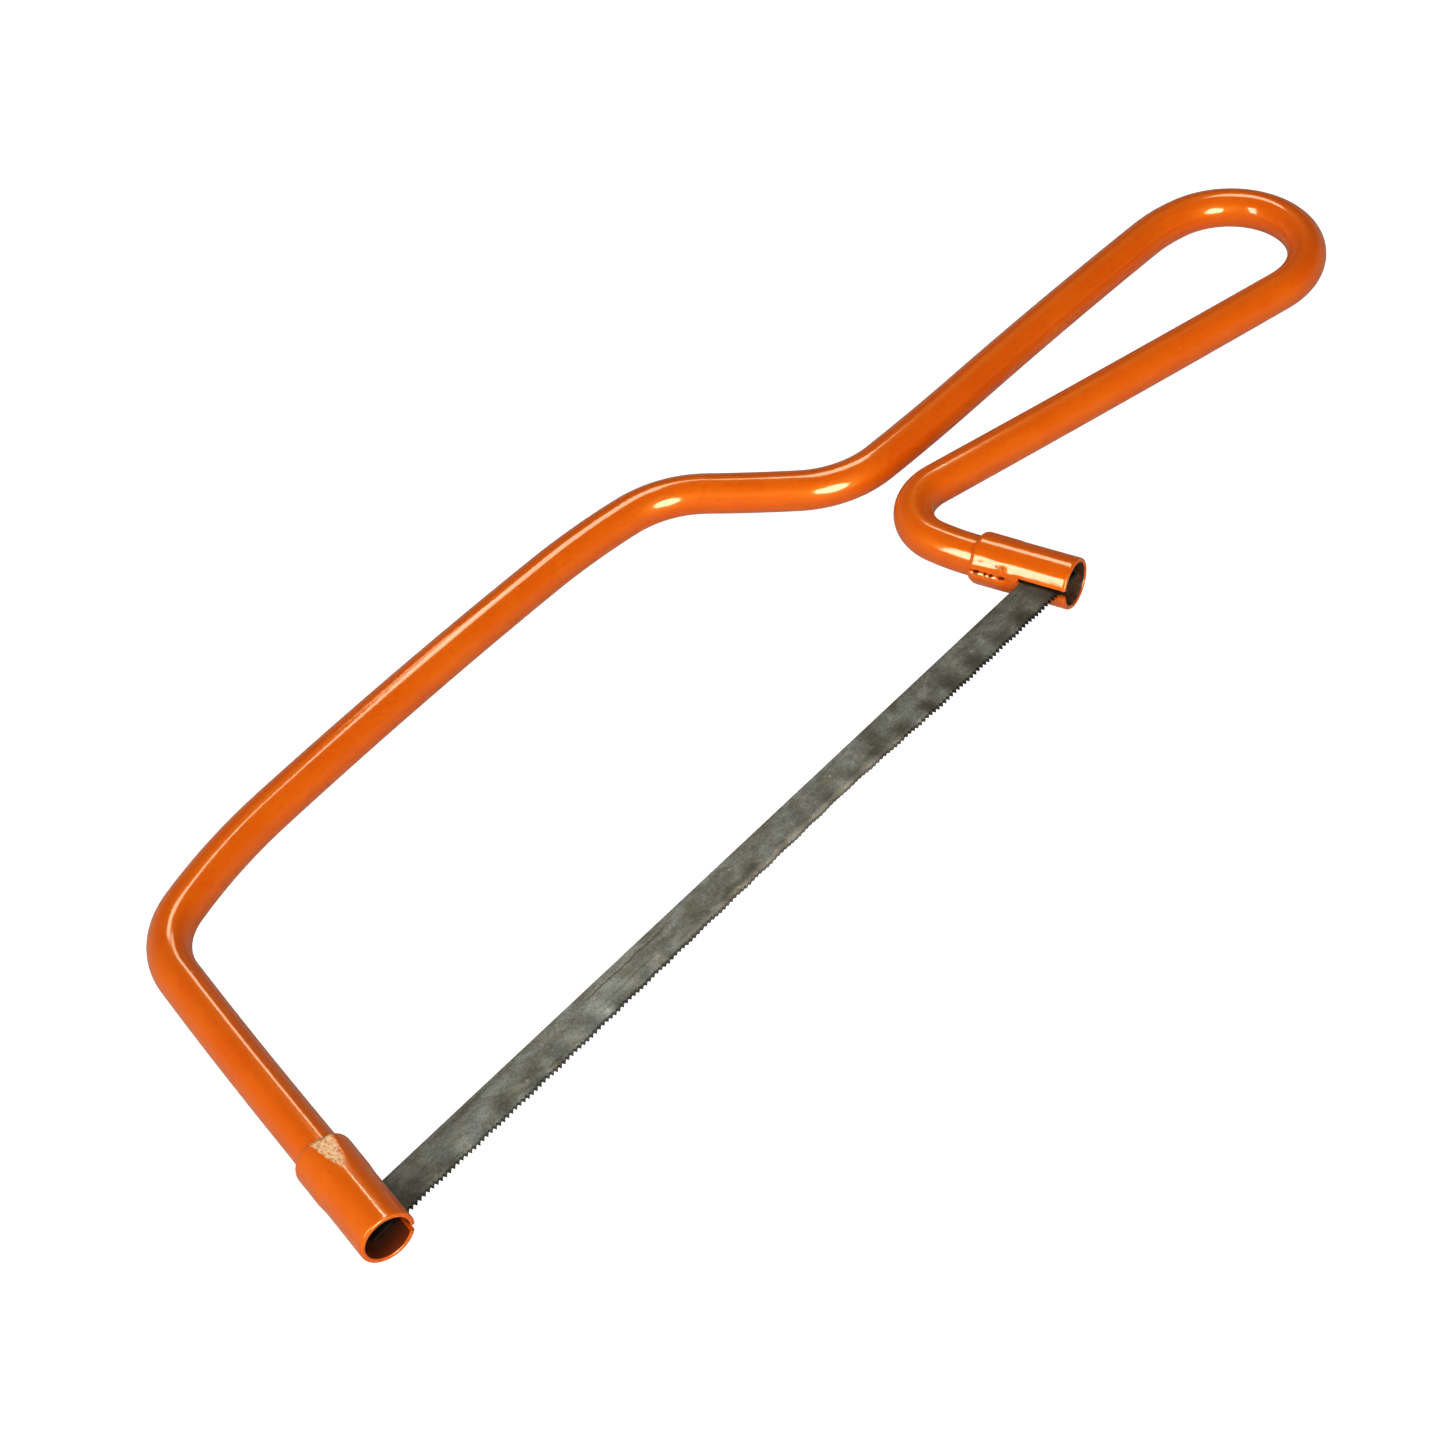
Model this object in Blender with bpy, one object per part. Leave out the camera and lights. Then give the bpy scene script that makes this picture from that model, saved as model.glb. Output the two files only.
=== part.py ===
"""Junior hacksaw with a one-piece sprung rod frame.

The saw lies flat: +X runs along the blade from the front of the saw to the handle, +Y runs in the
plane of the frame from the blade to the back bar, and +Z is the thickness. The origin is the middle
of the saw's bounding box.

The dimensions are counted from the throat point: the middle of the line between the two sleeves' bores,
beside the middle of the blade. The two bodies' empties carry it to its place, away from the origin by
SAW_MIDDLE.

The frame is one round rod, bent cold, with a rolled sleeve crimped on each end. Each sleeve has an
open mouth and a slot on the side that faces the blade. The blade carries a cross pin at each end.
The pins sit in the sleeves' bores and the blade leaves them through the slots. The slots aren't quite
in the plane of the frame, one above it and one below, so the blade leans a little from end to end.
"""

import math

import bmesh
import bpy

MM = 0.001
MM_PER_INCH = 25.4

# ---- Driving dimensions, in millimetres and degrees ----

ROD_DIAMETER = 6.6
ROD_SIDES = 24
LARGEST_BEND_STEP = 8.0  # degrees between two rings round a bend

SAW_MIDDLE = (46.3, 32.4)  # the middle of the saw's bounding box, seen from the throat point

# The mouth of each sleeve is where the frame's centre line starts and ends.
FRONT_MOUTH = (-74.6, -4.6)
FRONT_HEADING = 77.5  # from the front mouth into the rod, counted from +X towards +Y

# The centre line as the bender makes it: each stretch has a length and a turn, in degrees, to the
# left when positive. A stretch with no turn is straight. It runs from the front mouth to the rear one.
CENTRE_LINE = (
    ("front sleeve", 29.0, 0.0),
    ("front leg", 29.6, -1.5),
    ("front corner", 14.0, -59.5),
    ("front shoulder", 21.5, -13.5),
    ("back bar", 60.5, -4.0),
    ("end of the back bar", 18.0, -9.0),
    ("step down", 14.0, -46.0),
    ("neck", 15.0, 3.5),
    ("step out", 14.5, 49.5),
    ("handle near the neck", 21.0, 3.0),
    ("upper handle bar", 50.0, -2.5),
    ("start of the loop", 8.3, -17.5),
    ("handle loop", 41.3, -174.0),
    ("lower handle bar", 72.6, -1.0),
    ("rear bend", 15.6, 106.5),
    ("rear leg", 7.2, 10.0),
    ("rear sleeve", 17.5, 0.0),
)

SLEEVE_DIAMETER = 8.3
SLEEVE_BORE = 6.8
FRONT_SLEEVE_LENGTH = 17.5
REAR_SLEEVE_LENGTH = 16.5
SLOT_WIDTH = 1.2
FRONT_SLOT_TURN = -14.5  # round the sleeve, from the plane of the frame: below it
REAR_SLOT_TURN = 14.5  # above it
FRONT_SLOT_LENGTH = 9.5
REAR_SLOT_LENGTH = 7.8  # it ends just past the blade's back
CRIMP_START = 9.5  # from the mouth
CRIMP_WIDTH = 8.6  # the crimped half is wider than the round half, in the plane of the frame
CRIMP_HEIGHT = 7.6  # and flat above and below
CRIMP_RAMP = 1.5
RIM_CHAMFER = 0.3
SHOULDER_CHAMFER = 0.5
SEAM_WIDTH = 0.35
SEAM_DEPTH = 0.3
ROD_END_CLEARANCE = 0.3
SLEEVE_SIDES = 48

BLADE_LENGTH = 151.0
BLADE_DROP = 0.6  # from the throat point to the middle of the blade, away from the back bar
BLADE_LEAN = 0.74  # the rear end stands higher, to meet the two slots
BLADE_SKEW = -0.6  # the rear pin sits nearer its sleeve's mouth than the front pin does
BLADE_BACK = 3.16  # from the pins' line to the back edge
BLADE_GULLETS = 2.71  # from the pins' line to the bottom of the teeth
BLADE_TIPS = 3.19
BLADE_THICKNESS = 0.65
# The teeth are worn down between WORN_FROM and WORN_TO, counted from the middle of the blade, and most
# of all at WORN_MOST.
WORN_FROM = -42.0
WORN_MOST = 21.0
WORN_TO = 42.0
GULLET_WEAR = 0.43
TIP_WEAR = 0.81
TEETH_PER_INCH = 32
TOOTHED_LENGTH = 145.0
TOOTH_TIP_SHARE = 0.2  # the tip's place within a tooth, from the front: the steep side faces forward
PIN_SPACING = 146.0
PIN_DIAMETER = 1.5
PIN_LENGTH = 3.0
PIN_CHAMFER = 0.2
PIN_HOLE = 1.7
PIN_SIDES = 24

SHARP_EDGE_ANGLE = 30.0  # degrees between two faces, above which their edge is drawn sharp
CUTTER_OVERRUN = 1.0  # how far a cutter passes the surface that it opens


# ---- Helpers ----


def clear_scene():
    for thing in list(bpy.data.objects):
        bpy.data.objects.remove(thing, do_unlink=True)


def material(name, colour, roughness, metallic):
    made = bpy.data.materials.new(name)
    made.use_nodes = True
    shader = made.node_tree.nodes["Principled BSDF"]
    shader.inputs["Base Color"].default_value = (*colour, 1.0)
    shader.inputs["Roughness"].default_value = roughness
    shader.inputs["Metallic"].default_value = metallic
    made.diffuse_color = (*colour, 1.0)
    return made


def add_object(name, mesh_data, finish, parent):
    """Turns a bmesh, in millimetres, into a named object in metres with its faces turned outwards."""
    bmesh.ops.scale(mesh_data, vec=(MM, MM, MM), verts=mesh_data.verts)
    bmesh.ops.recalc_face_normals(mesh_data, faces=mesh_data.faces)
    mesh = bpy.data.meshes.new(name)
    mesh_data.to_mesh(mesh)
    mesh_data.free()
    mesh.shade_smooth()
    mesh.set_sharp_from_angle(angle=math.radians(SHARP_EDGE_ANGLE))
    mesh.materials.append(finish)
    made = bpy.data.objects.new(name, mesh)
    made.parent = parent
    bpy.context.collection.objects.link(made)
    return made


def add_body(name, drop=0.0):
    """An empty at the throat point, or this far below it, which the pieces of one body are parented to."""
    made = bpy.data.objects.new(name, None)
    made.location = (-SAW_MIDDLE[0] * MM, -(SAW_MIDDLE[1] + drop) * MM, 0.0)
    bpy.context.collection.objects.link(made)
    return made


def add_cutter(target, name, mesh_data, turn=0.0):
    """A shape in the target's own place, turned about the target's own X, that is taken away from it."""
    cutter = add_object(name, mesh_data, target.data.materials[0], target.parent)
    cutter.location = target.location
    cutter.rotation_euler = (turn, target.rotation_euler.y, target.rotation_euler.z)
    cutter.hide_render = True
    cutter.display_type = "WIRE"
    cut = target.modifiers.new(name, "BOOLEAN")
    cut.operation = "DIFFERENCE"
    cut.solver = "EXACT"
    cut.object = cutter


def join_rings(mesh_data, rings, closed_lengthwise=False):
    """Quads between each ring of points and the next. Every ring has the same number of points."""
    made = [[mesh_data.verts.new(point) for point in ring] for ring in rings]
    pairs = list(zip(made, made[1:]))
    if closed_lengthwise:
        pairs.append((made[-1], made[0]))
    for first, second in pairs:
        count = len(first)
        for i in range(count):
            j = (i + 1) % count
            mesh_data.faces.new((first[i], first[j], second[j], second[i]))
    return made


def box(mesh_data, low, high):
    made = bmesh.ops.create_cube(mesh_data, size=1.0)["verts"]
    for vert in made:
        for axis in range(3):
            middle = (low[axis] + high[axis]) / 2
            vert.co[axis] = middle + vert.co[axis] * (high[axis] - low[axis])


def rounded_bar(mesh_data, radius, length, chamfer, sides):
    """A round bar along Z about the origin, with chamfered ends."""
    half = length / 2
    profile = (
        (-half, radius - chamfer),
        (-half + chamfer, radius),
        (half - chamfer, radius),
        (half, radius - chamfer),
    )
    rings = []
    for height, r in profile:
        turns = [2 * math.pi * i / sides for i in range(sides)]
        rings.append([(r * math.cos(a), r * math.sin(a), height) for a in turns])
    made = join_rings(mesh_data, rings)
    mesh_data.faces.new(made[0])
    mesh_data.faces.new(made[-1])


# ---- Frame rod ----


def centre_line():
    """Points (x, y, heading, distance from the front mouth) along the frame's centre line."""
    x, y = FRONT_MOUTH
    heading = math.radians(FRONT_HEADING)
    distance = 0.0
    points = [(x, y, heading, distance)]
    for _, length, turn in CENTRE_LINE:
        steps = max(1, math.ceil(abs(turn) / LARGEST_BEND_STEP))
        bend = math.radians(turn) / steps
        chord = length / steps
        if bend:
            chord = 2 * (length / steps / bend) * math.sin(bend / 2)
        for _ in range(steps):
            x += chord * math.cos(heading + bend / 2)
            y += chord * math.sin(heading + bend / 2)
            heading += bend
            distance += length / steps
            points.append((x, y, heading, distance))
    return points


def rod_ring(x, y, heading):
    across = (-math.sin(heading), math.cos(heading))
    radius = ROD_DIAMETER / 2
    ring = []
    for i in range(ROD_SIDES):
        turn = 2 * math.pi * i / ROD_SIDES
        side = radius * math.cos(turn)
        ring.append((x + side * across[0], y + side * across[1], radius * math.sin(turn)))
    return ring


def point_before(point, distance):
    """The point on a straight end of the centre line, this far before the given point."""
    x, y, heading, along = point
    return (x - distance * math.cos(heading), y - distance * math.sin(heading), heading, along - distance)


def build_frame_rod(parent, finish):
    """One solid rod. Each end stops inside its sleeve, short of the slot that the blade runs in."""
    points = centre_line()
    inset = CRIMP_START + ROD_END_CLEARANCE
    total = points[-1][3]
    front_end = point_before(points[0], -inset)
    rear_end = point_before(points[-1], inset)
    between = [p for p in points if front_end[3] < p[3] < total - inset]
    mesh_data = bmesh.new()
    rings = [rod_ring(*p[:3]) for p in (front_end, *between, rear_end)]
    made = join_rings(mesh_data, rings)
    mesh_data.faces.new(made[0])
    mesh_data.faces.new(made[-1])
    return add_object("frame_rod", mesh_data, finish, parent)


# ---- Sleeves ----


def sleeve_outside(along, length):
    """Half width, half height and flat height of the sleeve's outside, this far from its mouth."""
    radius = SLEEVE_DIAMETER / 2
    crimped = min(1.0, max(0.0, (along - CRIMP_START) / CRIMP_RAMP))
    wide = radius + crimped * (CRIMP_WIDTH / 2 - radius)
    flat = radius + crimped * (CRIMP_HEIGHT / 2 - radius)
    trim = 0.0
    if along == 0.0:
        trim = RIM_CHAMFER
    if along == length:
        trim = SHOULDER_CHAMFER
    return wide - trim, radius - trim, flat - trim


def build_sleeve(name, mouth, heading, length, blade_side, slot_turn, slot_length, parent, finish):
    """A sleeve along its own +X from its mouth, with its slot and seam on the side blade_side of Y.

    slot_turn lifts the slot and the seam out of the plane of the frame, in degrees.
    """
    bore = SLEEVE_BORE / 2
    stations = (
        0.0,
        RIM_CHAMFER,
        CRIMP_START,
        CRIMP_START + CRIMP_RAMP,
        length - SHOULDER_CHAMFER,
        length,
    )
    turns = [2 * math.pi * i / SLEEVE_SIDES for i in range(SLEEVE_SIDES)]
    rings = []
    for along in stations:
        wide, high, flat = sleeve_outside(along, length)
        ring = []
        for turn in turns:
            height = max(-flat, min(flat, high * math.sin(turn)))
            ring.append((along, wide * math.cos(turn), height))
        rings.append(ring)
    for along in (length, 0.0):
        rings.append([(along, bore * math.cos(turn), bore * math.sin(turn)) for turn in turns])
    mesh_data = bmesh.new()
    join_rings(mesh_data, rings, closed_lengthwise=True)
    sleeve = add_object(name, mesh_data, finish, parent)
    sleeve.location = (mouth[0] * MM, mouth[1] * MM, 0.0)
    sleeve.rotation_euler = (0.0, 0.0, heading)

    outside = blade_side * SLEEVE_DIAMETER
    turn = math.radians(blade_side * slot_turn)
    slot = bmesh.new()
    half = SLOT_WIDTH / 2
    low = (-CUTTER_OVERRUN, min(0.0, outside), -half)
    high = (slot_length, max(0.0, outside), half)
    box(slot, low, high)
    add_cutter(sleeve, name + "_slot", slot, turn)

    seam = bmesh.new()
    half = SEAM_WIDTH / 2
    bottom = blade_side * (CRIMP_WIDTH / 2 - SEAM_DEPTH)
    low = (slot_length - CUTTER_OVERRUN, min(bottom, outside), -half)
    high = (length + CUTTER_OVERRUN, max(bottom, outside), half)
    box(seam, low, high)
    add_cutter(sleeve, name + "_seam", seam, turn)
    return sleeve


# ---- Blade ----


def wear(x):
    """How far the teeth are worn at x: 0 where they are sharp, 1 where they are nearly gone."""
    rising = (x - WORN_FROM) / (WORN_MOST - WORN_FROM)
    falling = (WORN_TO - x) / (WORN_TO - WORN_MOST)
    return max(0.0, min(rising, falling))


def blade_outline():
    """The blade's edge, counter-clockwise from the front end of its toothed edge."""
    pitch = MM_PER_INCH / TEETH_PER_INCH
    count = int(TOOTHED_LENGTH / pitch)
    first = -count * pitch / 2
    half = BLADE_LENGTH / 2
    points = [(-half, -BLADE_GULLETS)]
    for i in range(count):
        root = first + i * pitch
        tip = root + TOOTH_TIP_SHARE * pitch
        points.append((root, GULLET_WEAR * wear(root) - BLADE_GULLETS))
        points.append((tip, TIP_WEAR * wear(tip) - BLADE_TIPS))
    points.append((first + count * pitch, -BLADE_GULLETS))
    points += [(half, -BLADE_GULLETS), (half, BLADE_BACK), (-half, BLADE_BACK)]
    return points


def build_blade(parent, finish):
    half = BLADE_THICKNESS / 2
    outline = blade_outline()
    mesh_data = bmesh.new()
    rings = [[(x, y, z) for x, y in outline] for z in (-half, half)]
    made = join_rings(mesh_data, rings)
    mesh_data.faces.new(made[0])
    mesh_data.faces.new(made[-1])
    blade = add_object("blade", mesh_data, finish, parent)
    for name, x in (("front_pin_hole", -PIN_SPACING / 2), ("rear_pin_hole", PIN_SPACING / 2)):
        hole = bmesh.new()
        rounded_bar(hole, PIN_HOLE / 2, PIN_LENGTH, PIN_CHAMFER, PIN_SIDES)
        bmesh.ops.translate(hole, vec=(x, 0.0, 0.0), verts=hole.verts)
        add_cutter(blade, name, hole)
    return blade


def build_pin(name, x, parent, finish):
    mesh_data = bmesh.new()
    rounded_bar(mesh_data, PIN_DIAMETER / 2, PIN_LENGTH, PIN_CHAMFER, PIN_SIDES)
    pin = add_object(name, mesh_data, finish, parent)
    pin.location = (x * MM, 0.0, 0.0)
    return pin


# ---- Saw ----


def main():
    clear_scene()
    paint = material("frame_paint", (0.76, 0.102, 0.006), 0.25, 0.0)
    front_paint = material("front_sleeve_paint", (0.76, 0.102, 0.006), 0.3, 0.0)
    rear_paint = material("rear_sleeve_paint", (0.76, 0.102, 0.006), 0.3, 0.0)
    blade_steel = material("blade_steel", (0.12, 0.12, 0.11), 0.45, 0.9)
    front_pin_steel = material("front_pin_steel", (0.45, 0.44, 0.42), 0.35, 1.0)
    rear_pin_steel = material("rear_pin_steel", (0.45, 0.44, 0.42), 0.35, 1.0)

    frame = add_body("frame")
    build_frame_rod(frame, paint)
    rear = centre_line()[-1]
    build_sleeve(
        "front_sleeve",
        FRONT_MOUTH,
        math.radians(FRONT_HEADING),
        FRONT_SLEEVE_LENGTH,
        -1,
        FRONT_SLOT_TURN,
        FRONT_SLOT_LENGTH,
        frame,
        front_paint,
    )
    build_sleeve(
        "rear_sleeve",
        rear[:2],
        rear[2] + math.pi,
        REAR_SLEEVE_LENGTH,
        1,
        REAR_SLOT_TURN,
        REAR_SLOT_LENGTH,
        frame,
        rear_paint,
    )

    # The blade and its pins lift out together along -Y, away from the back bar.
    blade_slide = add_body("blade_slide", BLADE_DROP)
    blade_slide.rotation_euler = (0.0, math.radians(-BLADE_LEAN), math.radians(BLADE_SKEW))
    build_blade(blade_slide, blade_steel)
    build_pin("front_blade_pin", -PIN_SPACING / 2, blade_slide, front_pin_steel)
    build_pin("rear_blade_pin", PIN_SPACING / 2, blade_slide, rear_pin_steel)


main()
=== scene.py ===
"""Looks of the junior hacksaw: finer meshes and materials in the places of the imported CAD, with a floor,
lights and a camera.

Lengths are in millimetres and count from the throat point, like the CAD's: the middle of the line
between the two sleeves' bores. The blade's own lengths count from the middle of the blade.
"""

import math

import bmesh
import bpy
import numpy as np
from mathutils import Matrix, Vector, noise


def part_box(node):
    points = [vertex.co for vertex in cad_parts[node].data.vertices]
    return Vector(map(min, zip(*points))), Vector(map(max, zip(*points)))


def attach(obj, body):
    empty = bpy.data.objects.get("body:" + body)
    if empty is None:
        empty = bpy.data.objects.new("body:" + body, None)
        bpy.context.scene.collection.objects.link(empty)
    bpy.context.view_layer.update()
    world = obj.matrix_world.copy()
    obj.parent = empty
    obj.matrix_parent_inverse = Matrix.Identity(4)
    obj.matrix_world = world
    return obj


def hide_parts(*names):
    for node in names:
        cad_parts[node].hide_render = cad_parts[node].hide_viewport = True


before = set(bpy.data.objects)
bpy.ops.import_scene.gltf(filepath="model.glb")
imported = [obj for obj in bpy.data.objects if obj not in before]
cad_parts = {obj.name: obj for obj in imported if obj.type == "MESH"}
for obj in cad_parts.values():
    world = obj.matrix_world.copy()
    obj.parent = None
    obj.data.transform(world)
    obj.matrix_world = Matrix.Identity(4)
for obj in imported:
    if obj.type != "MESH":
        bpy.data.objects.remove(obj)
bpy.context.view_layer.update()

MM = 0.001

# ---- Places and sizes taken from the CAD, in millimetres ----


def cad_box(node):
    low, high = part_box(node)
    return np.array(low) / MM, np.array(high) / MM


front_pin_low, front_pin_high = cad_box("front_blade_pin")
rear_pin_low, rear_pin_high = cad_box("rear_blade_pin")
FRONT_PIN = (front_pin_low + front_pin_high) / 2
REAR_PIN = (rear_pin_low + rear_pin_high) / 2
BLADE_MIDDLE = (FRONT_PIN + REAR_PIN) / 2
BLADE_DROP = 0.6
THROAT = BLADE_MIDDLE + np.array([0.0, BLADE_DROP, 0.0])
blade_along = (REAR_PIN - FRONT_PIN) / np.linalg.norm(REAR_PIN - FRONT_PIN)
blade_across = np.cross([0.0, 0.0, 1.0], blade_along)
blade_across /= np.linalg.norm(blade_across)
BLADE_AXES = np.array([blade_along, blade_across, np.cross(blade_along, blade_across)])

PIN_SPACING = np.linalg.norm(REAR_PIN - FRONT_PIN)
PIN_RADIUS = 0.75
PIN_LENGTH = 3.0
PIN_SIDES = 40
# A pin's domed end: radius, and how far below the top of the dome.
PIN_DOME = ((0.25, 0.01), (0.5, 0.04), (0.66, 0.1), (0.73, 0.2), (PIN_RADIUS, 0.32))
PIN_SHANK_RADIUS = 0.985 * PIN_RADIUS
PIN_SHANK_REACH = 0.8  # from the middle of the pin
BLADE_LENGTH = 151.0
BLADE_THICKNESS = 0.65
BLADE_BACK = 3.16
BLADE_GULLETS = -2.71
BLADE_TIPS = -3.19
TOOTH_PITCH = 25.4 / 32
TEETH = 182
# The teeth are worn down between WORN_FROM and WORN_TO, and most of all at WORN_MOST.
WORN_FROM = -42.0
WORN_MOST = 21.0
WORN_TO = 42.0
GULLET_WEAR = 0.43
TIP_WEAR = 0.81
# A tooth's tip is flat between these shares of the pitch, and these are the points drawn on a tooth.
TIP_FROM = 0.18
TIP_TO = 0.27
TOOTH_POINTS = (0.0, 0.06, 0.12, TIP_FROM, TIP_TO, 0.4, 0.53, 0.66, 0.79, 0.9)
BACK_BEVEL = 0.09
WAVE = 7 * TOOTH_PITCH  # the set swings out and back once in seven teeth
SET_SWING = 0.11
SET_TOP = 1.2  # how high up the blade the set reaches

ROD_RADIUS = 3.3
ROD_SIDES = 72
TIGHT_BEND = 10.0  # radius of the rod's centre line from which it counts as tight
BEND_FLATTENING = 0.012  # share of the rod's radius
FRONT_MOUTH = (-74.6, -4.6)
FRONT_HEADING = 77.5
# The rod's centre line, as stretches from the front mouth: length, and turn in degrees.
CENTRE_LINE = (
    (29.0, 0.0),
    (29.6, -1.5),
    (14.0, -59.5),
    (21.5, -13.5),
    (60.5, -4.0),
    (18.0, -9.0),
    (14.0, -46.0),
    (15.0, 3.5),
    (14.5, 49.5),
    (21.0, 3.0),
    (50.0, -2.5),
    (8.3, -17.5),
    (41.3, -174.0),
    (72.6, -1.0),
    (15.6, 106.5),
    (7.2, 10.0),
    (17.5, 0.0),
)

SLEEVE_RADIUS = 4.15
BORE_RADIUS = 3.4
SLEEVE_SIDES = 180
SLOT_WIDTH = 1.2
SLOT_END = 0.3  # length of the rounded closed end of a slot
SEAM_HALF_GAP = 0.02
PIT_HALF_GAP = 0.16  # added to the seam's where it is open
CRIMP_START = 9.5  # from the mouth
CRIMP_RAMP = 2.0
CRIMP_HALF_WIDTH = 4.3
CRIMP_HALF_HEIGHT = 3.8
CRIMP_DENTS = 0.05
CRIMP_UNDERSIDE = 4.2  # where the crimp starts to press the underside flat
SEAM_RIDGE = 0.34
SEAM_SINK = 0.12
# In radians: how far the ridge lies below the seam, its width, and how far the sunk edge reaches.
SEAM_RIDGE_PLACE = 0.24
SEAM_RIDGE_WIDTH = 0.30
SEAM_SINK_ABOVE = 0.35
SEAM_SINK_BELOW = 0.05
BORE_CLOSING_START = 2.0  # from the far end, where the bore closes onto the rod
BORE_CLOSING_LENGTH = 1.6
CLOSED_BORE_RADIUS = ROD_RADIUS - 0.02  # a little inside the rod, so that no gap shows
SLEEVE_EDGE_BEVEL = 0.07
ROD_END = CRIMP_START + 0.3


# ---- Meshes ----


def add_piece(name, points, faces, material, body, nodes, attributes=()):
    """A mesh in millimetres from the throat point. It rides on body and is drawn in place of nodes."""
    points = (np.asarray(points, float) + THROAT) * MM
    mesh = bpy.data.meshes.new(name)
    mesh.from_pydata(points.tolist(), [], faces)
    mesh.validate()
    made = bpy.data.objects.new(name, mesh)
    bpy.context.scene.collection.objects.link(made)
    for title, values in attributes:
        layer = mesh.attributes.new(title, "FLOAT", "POINT")
        layer.data.foreach_set("value", np.asarray(values, np.float32))
    shape = bmesh.new()
    shape.from_mesh(mesh)
    bmesh.ops.recalc_face_normals(shape, faces=shape.faces)
    shape.to_mesh(mesh)
    shape.free()
    mesh.shade_smooth()
    mesh.materials.append(material)
    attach(made, body)
    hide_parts(*nodes)
    return made


def grid_faces(rows, columns):
    """Quads over rows x columns points, closed round each row."""
    faces = []
    for i in range(rows - 1):
        for j in range(columns):
            k = (j + 1) % columns
            faces.append((i * columns + j, i * columns + k, (i + 1) * columns + k, (i + 1) * columns + j))
    return faces


def centre_line(step):
    """Arrays x, y, heading and distance along the rod's centre line, at most step apart."""
    x, y = FRONT_MOUTH
    heading = math.radians(FRONT_HEADING)
    distance = 0.0
    out = [(x, y, heading, distance)]
    for length, turn in CENTRE_LINE:
        count = math.ceil(length / step)
        part = length / count
        bend = math.radians(turn) / count
        chord = part if not bend else 2 * (part / bend) * math.sin(bend / 2)
        for _ in range(count):
            x += chord * math.cos(heading + bend / 2)
            y += chord * math.sin(heading + bend / 2)
            heading += bend
            distance += part
            out.append((x, y, heading, distance))
    return np.array(out)


def on_blade(points):
    """Points in the blade's own axes, moved to where the blade leans in the frame."""
    return np.asarray(points, float) @ BLADE_AXES + BLADE_MIDDLE - THROAT


LINE = centre_line(0.8)
LINE_LENGTH = LINE[-1, 3]
REAR_MOUTH = LINE[-1, :2]
REAR_HEADING = LINE[-1, 2] + math.pi

# A sleeve's angles count from the frame's plane on the blade's side, upwards. Its side is the side of
# its own heading that the blade is on. A facet is where the crimping tool pressed the sleeve flat: its
# angle, where it starts, and its depth at the far end. A pit is an open place in the closed seam: how
# far it is from the mouth, and its length. The seed sets where its dents are.
FRONT_SLEEVE = {
    "mouth": FRONT_MOUTH,
    "heading": math.radians(FRONT_HEADING),
    "length": 17.5,
    "side": -1,
    "slot_turn": math.radians(-14.5),
    "slot_length": 9.5,
    "facet": (math.radians(81.0), 11.2, 0.36),
    "pits": ((12.2, 0.9), (14.6, 1.3), (16.2, 0.5)),
    "seed": 1.7,
}
REAR_SLEEVE = {
    "mouth": REAR_MOUTH,
    "heading": REAR_HEADING,
    "length": 16.5,
    "side": 1,
    "slot_turn": math.radians(14.5),
    "slot_length": 7.8,
    "facet": (math.radians(34.0), 8.8, 0.11),
    "pits": ((15.0, 1.2), (13.5, 0.4), (12.5, 0.8), (10.7, 1.2)),
    "seed": 6.3,
}


def build_rod(material, body):
    """The bent rod. Its surface is not quite true: it is a hair flatter round the tight bends."""
    line = LINE[(LINE[:, 3] > ROD_END) & (LINE[:, 3] < LINE_LENGTH - ROD_END)]
    curvature = np.abs(np.gradient(line[:, 2]) / np.gradient(line[:, 3]))
    curvature = np.convolve(curvature, np.ones(7) / 7, mode="same")
    flattening = np.clip(curvature * TIGHT_BEND, 0, 1) * BEND_FLATTENING
    turns = np.linspace(0, 2 * math.pi, ROD_SIDES, endpoint=False)
    rings = []
    for (x, y, heading, _), flat in zip(line, flattening):
        across = ROD_RADIUS * (1 - flat) * np.cos(turns)
        up = ROD_RADIUS * (1 + flat * 0.5) * np.sin(turns)
        rings.append(np.stack([x - across * math.sin(heading), y + across * math.cos(heading), up], 1))
    last = (len(rings) - 1) * ROD_SIDES
    faces = grid_faces(len(rings), ROD_SIDES)
    faces.append(tuple(range(ROD_SIDES))[::-1])
    faces.append(tuple(last + j for j in range(ROD_SIDES)))
    return add_piece("frame_rod_enamelled", np.concatenate(rings), faces, material, body, ["frame_rod"])


def smooth(x):
    x = min(1.0, max(0.0, x))
    return x * x * (3 - 2 * x)


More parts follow.
